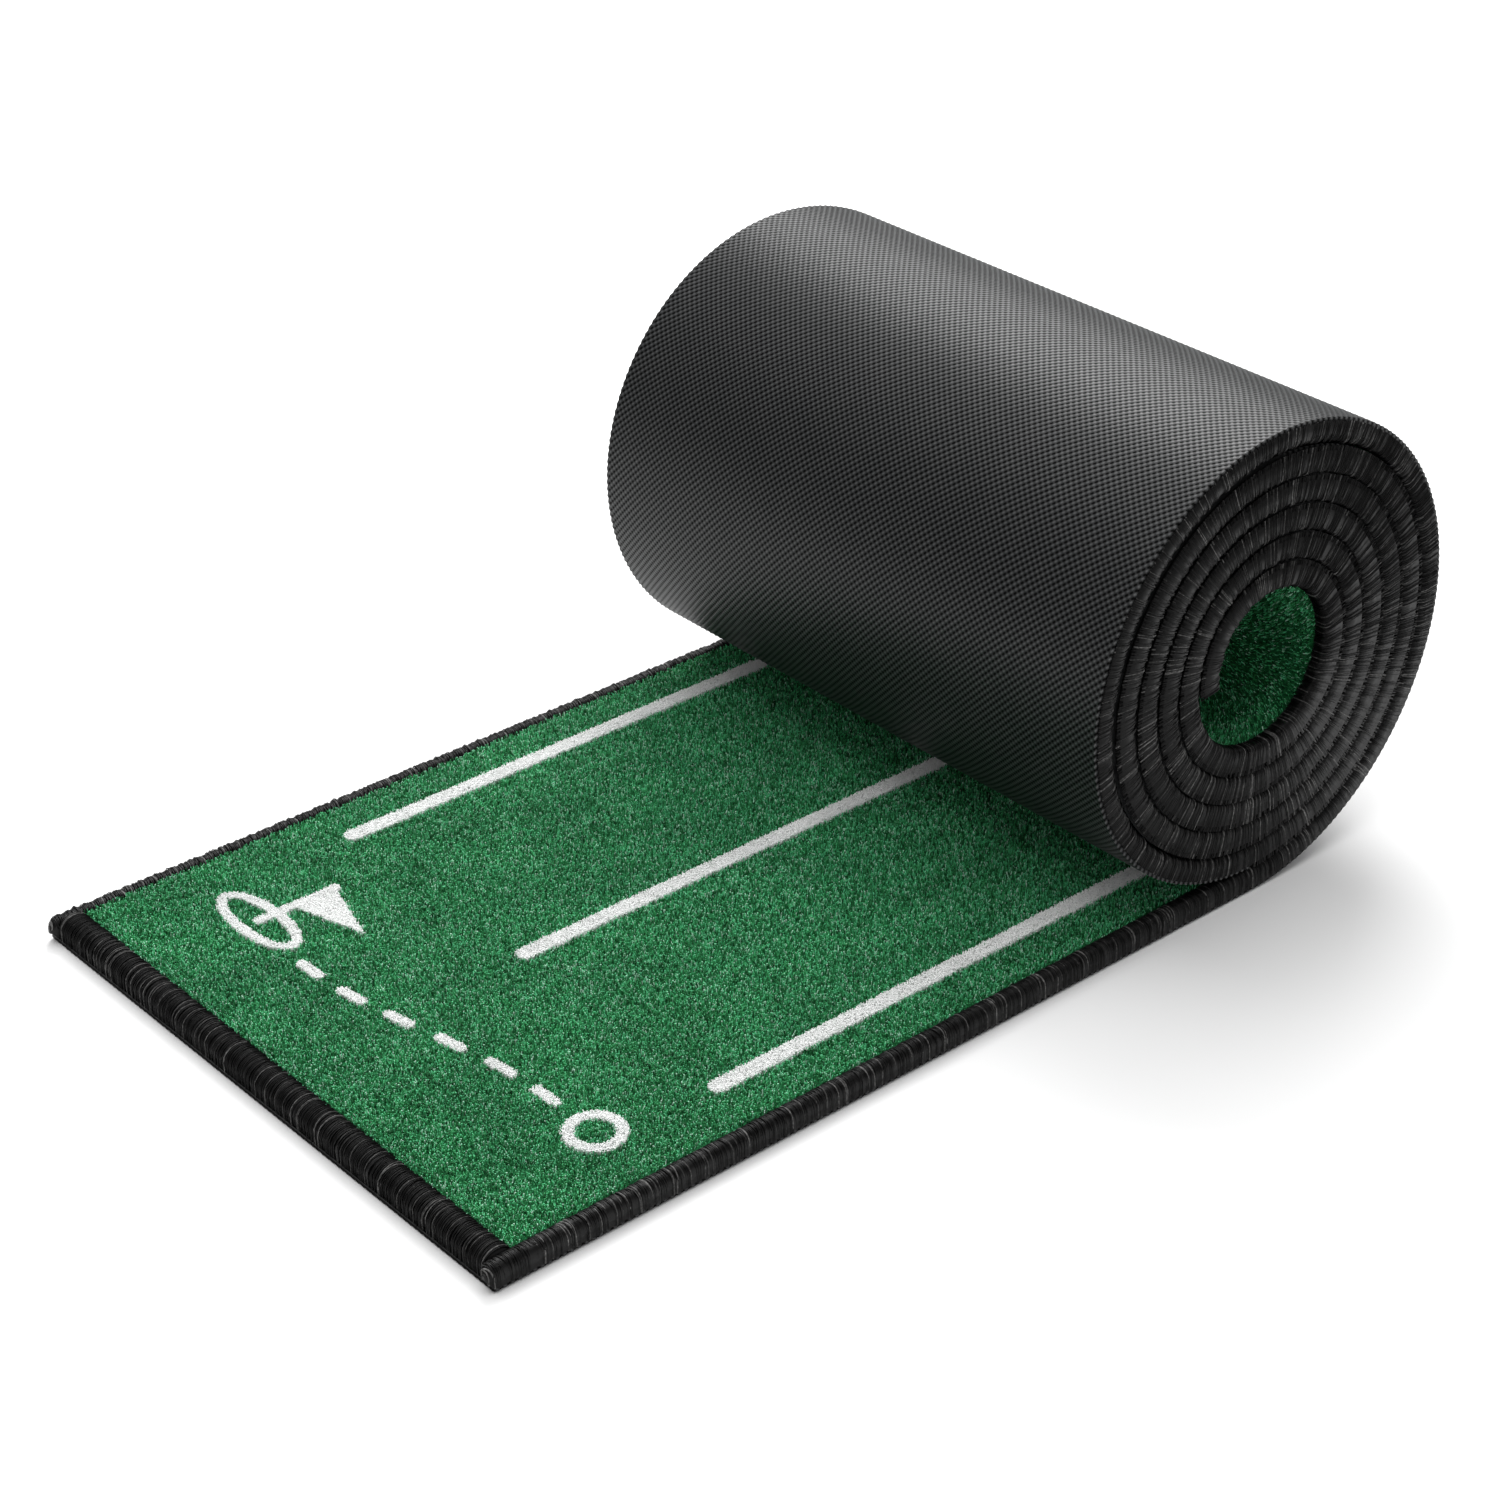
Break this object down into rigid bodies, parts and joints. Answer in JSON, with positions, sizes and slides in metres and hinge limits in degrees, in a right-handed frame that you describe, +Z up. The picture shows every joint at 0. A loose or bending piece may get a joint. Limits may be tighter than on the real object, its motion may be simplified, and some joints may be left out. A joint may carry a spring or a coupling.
{
  "type": "practice putting mat",
  "caption": "Strip of putting turf on a rubber backing with whipped edges and guide lines, flat in front and wound into a roll behind.",
  "frame": {"origin": "on the floor, under the middle of the object's box as it is stored", "axes": "+X across the mat, +Y from the flat front edge towards the roll, +Z up"},
  "size_m": [0.25, 0.4206, 0.178],
  "materials": {
    "rubber": "matt, small raised dots",
    "cloth": "woven, matt",
    "turf": "cut pile",
    "serging_yarn": "wrapped yarn, slightly glossy",
    "guide_yarn": "cut pile"
  },
  "bodies": {
    "flat_run": {"flat_rubber_backing": "rubber", "flat_primary_cloth": "cloth", "flat_turf_pile": "turf", "flat_front_serging": "serging_yarn", "flat_left_serging": "serging_yarn", "flat_right_serging": "serging_yarn", "flat_left_guide_line": "guide_yarn", "flat_centre_guide_line": "guide_yarn", "flat_right_guide_line": "guide_yarn", "motif_flag": "guide_yarn", "motif_hole_ring": "guide_yarn", "motif_putt_path": "guide_yarn", "motif_ball_ring": "guide_yarn"},
    "bend1": {"bend1_rubber_backing": "rubber", "bend1_primary_cloth": "cloth", "bend1_turf_pile": "turf", "bend1_side_sergings": "serging_yarn", "bend1_guide_lines": "guide_yarn"},
    "bend2": {"bend2_rubber_backing": "rubber", "bend2_primary_cloth": "cloth", "bend2_turf_pile": "turf", "bend2_side_sergings": "serging_yarn", "bend2_guide_lines": "guide_yarn"},
    "bend3": {"bend3_rubber_backing": "rubber", "bend3_primary_cloth": "cloth", "bend3_turf_pile": "turf", "bend3_side_sergings": "serging_yarn", "bend3_guide_lines": "guide_yarn"},
    "bend4": {"bend4_rubber_backing": "rubber", "bend4_primary_cloth": "cloth", "bend4_turf_pile": "turf", "bend4_side_sergings": "serging_yarn", "bend4_guide_lines": "guide_yarn"},
    "bend5": {"bend5_rubber_backing": "rubber", "bend5_primary_cloth": "cloth", "bend5_turf_pile": "turf", "bend5_side_sergings": "serging_yarn", "bend5_guide_lines": "guide_yarn"},
    "bend6": {"bend6_rubber_backing": "rubber", "bend6_primary_cloth": "cloth", "bend6_turf_pile": "turf", "bend6_side_sergings": "serging_yarn", "bend6_guide_lines": "guide_yarn"},
    "bend7": {"bend7_rubber_backing": "rubber", "bend7_primary_cloth": "cloth", "bend7_turf_pile": "turf", "bend7_side_sergings": "serging_yarn", "bend7_guide_lines": "guide_yarn"},
    "coil": {"roll_rubber_backing": "rubber", "roll_primary_cloth": "cloth", "roll_turf_pile": "turf", "roll_end_serging": "serging_yarn", "roll_left_serging": "serging_yarn", "roll_right_serging": "serging_yarn", "roll_left_guide_line": "guide_yarn", "roll_centre_guide_line": "guide_yarn", "roll_right_guide_line": "guide_yarn"}
  },
  "joints": [
    {"name": "bend_line_1", "type": "hinge", "parent": "flat_run", "child": "bend1", "pos_m": [0, 0.13895, 0], "axis": [-1, 0, 0], "range_deg": [0, 22.5]},
    {"name": "bend_line_2", "type": "hinge", "parent": "bend1", "child": "bend2", "pos_m": [0, 0.17166, 0.01355], "axis": [-1, 0, 0], "range_deg": [0, 22.5]},
    {"name": "bend_line_3", "type": "hinge", "parent": "bend2", "child": "bend3", "pos_m": [0, 0.1967, 0.03859], "axis": [-1, 0, 0], "range_deg": [0, 22.5]},
    {"name": "bend_line_4", "type": "hinge", "parent": "bend3", "child": "bend4", "pos_m": [0, 0.21025, 0.0713], "axis": [-1, 0, 0], "range_deg": [0, 22.5]},
    {"name": "bend_line_5", "type": "hinge", "parent": "bend4", "child": "bend5", "pos_m": [0, 0.21025, 0.1067], "axis": [-1, 0, 0], "range_deg": [0, 22.5]},
    {"name": "bend_line_6", "type": "hinge", "parent": "bend5", "child": "bend6", "pos_m": [0, 0.1967, 0.13941], "axis": [-1, 0, 0], "range_deg": [0, 22.5]},
    {"name": "bend_line_7", "type": "hinge", "parent": "bend6", "child": "bend7", "pos_m": [0, 0.17166, 0.16445], "axis": [-1, 0, 0], "range_deg": [0, 22.5]},
    {"name": "bend_line_8", "type": "hinge", "parent": "bend7", "child": "coil", "pos_m": [0, 0.13895, 0.178], "axis": [-1, 0, 0], "range_deg": [0, 22.5]}
  ]
}
